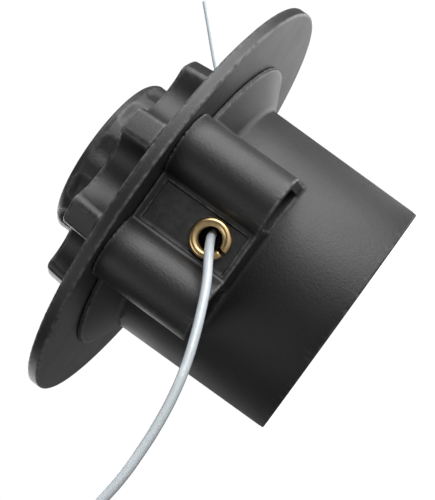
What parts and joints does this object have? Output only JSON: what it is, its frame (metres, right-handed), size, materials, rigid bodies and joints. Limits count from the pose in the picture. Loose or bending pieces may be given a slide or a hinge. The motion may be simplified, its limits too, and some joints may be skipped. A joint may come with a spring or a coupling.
{
  "type": "trimmer line head",
  "caption": "Bump-feed cutting-line head: flanged housing with a sprung line spool, lobed grip ring, bump knob and line ends that leave through brass eyelets.",
  "frame": {"origin": "centre of the skirt's open end, on the plane that the head stands on", "axes": "+Z along the head's axis from the gearbox side towards the bump knob; -Y out of the front eyelet"},
  "size_m": [0.1485, 0.1868, 0.1103],
  "materials": {
    "black_nylon": "satin moulded glass-filled nylon",
    "knob_nylon": "satin moulded nylon, slightly scuffed",
    "brass": "plain turned brass",
    "steel": "zinc-plated",
    "cutting_line": "translucent extruded nylon"
  },
  "bodies": {
    "housing": {"housing": "black_nylon", "cover": "black_nylon", "eyelet_front": "brass", "eyelet_back": "brass", "arbor_nut": "steel", "arbor_washer": "steel", "return_spring": "steel", "line_lead_front": "cutting_line", "line_lead_back": "cutting_line"},
    "thrust_washer": {"thrust_washer": "steel"},
    "spool": {"spool": "black_nylon", "winding_lower": "cutting_line", "winding_upper": "cutting_line", "grip_ring": "black_nylon", "bump_knob": "knob_nylon", "knob_bolt": "steel", "knob_washer": "steel", "knob_nut": "steel"}
  },
  "joints": [
    {"name": "bump_press", "type": "slide", "parent": "housing", "child": "thrust_washer", "axis": [0, 0, -1], "range_m": [0, 0.005], "stiffness_N_per_m": 2500, "springref_m": -0.01, "deforming": ["return_spring"]},
    {"name": "spool_spin", "type": "hinge", "parent": "thrust_washer", "child": "spool", "pos_m": [0, 0, 0.045], "axis": [0, 0, 1], "continuous": true}
  ]
}
